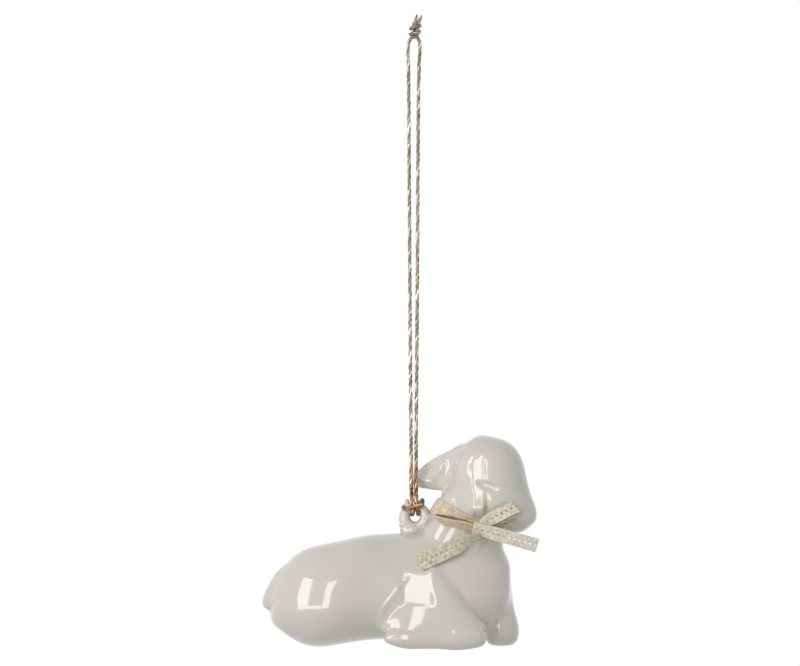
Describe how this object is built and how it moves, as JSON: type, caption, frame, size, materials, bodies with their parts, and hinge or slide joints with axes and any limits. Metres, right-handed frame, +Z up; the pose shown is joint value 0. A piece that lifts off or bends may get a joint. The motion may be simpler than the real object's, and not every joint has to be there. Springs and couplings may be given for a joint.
{
  "type": "hanging lamb ornament",
  "caption": "Hollow lying lamb in glossy ivory enamel with a woven ribbon bow at its neck, hung from a wire eye on a looped metallic cord.",
  "frame": {"origin": "the point inside the top of the cord loop where a hook carries it, above the eye on the lamb's withers", "axes": "+X from tail to nose, +Y away from the viewer, from the near side to the far side, +Z up along the cord"},
  "size_m": [0.0698, 0.0286, 0.1588],
  "materials": {
    "ivory_enamel": "gloss",
    "woven_ribbon": "openwork weave",
    "metallic_cord": "twisted metallic thread"
  },
  "bodies": {
    "hanger": {"cord_top_bight": "metallic_cord", "cord_top_knot": "metallic_cord", "cord_left_end": "metallic_cord", "cord_right_end": "metallic_cord"},
    "strands": {"cord_left_strand": "metallic_cord", "cord_right_strand": "metallic_cord"},
    "hitch": {"cord_hitch": "metallic_cord"},
    "lamb": {"near_half_shell": "ivory_enamel", "far_half_shell": "ivory_enamel", "near_ear": "ivory_enamel", "far_ear": "ivory_enamel", "hanger_eye": "ivory_enamel", "ribbon_neck_band": "woven_ribbon", "ribbon_knot": "woven_ribbon", "ribbon_front_loop": "woven_ribbon", "ribbon_rear_loop": "woven_ribbon", "ribbon_front_tail": "woven_ribbon", "ribbon_rear_tail": "woven_ribbon"}
  },
  "joints": [
    {"name": "cord_twist", "type": "hinge", "parent": "hanger", "child": "strands", "pos_m": [0, 0, -0.0016], "axis": [0, 0, 1], "range_deg": [-180, 180]},
    {"name": "nose_rock", "type": "hinge", "parent": "strands", "child": "hitch", "pos_m": [0, 0, -0.1139], "axis": [0, 1, 0], "range_deg": [-10, 35]},
    {"name": "side_roll", "type": "hinge", "parent": "hitch", "child": "lamb", "pos_m": [0, 0, -0.1165], "axis": [1, 0, 0], "range_deg": [-60, 4]}
  ]
}
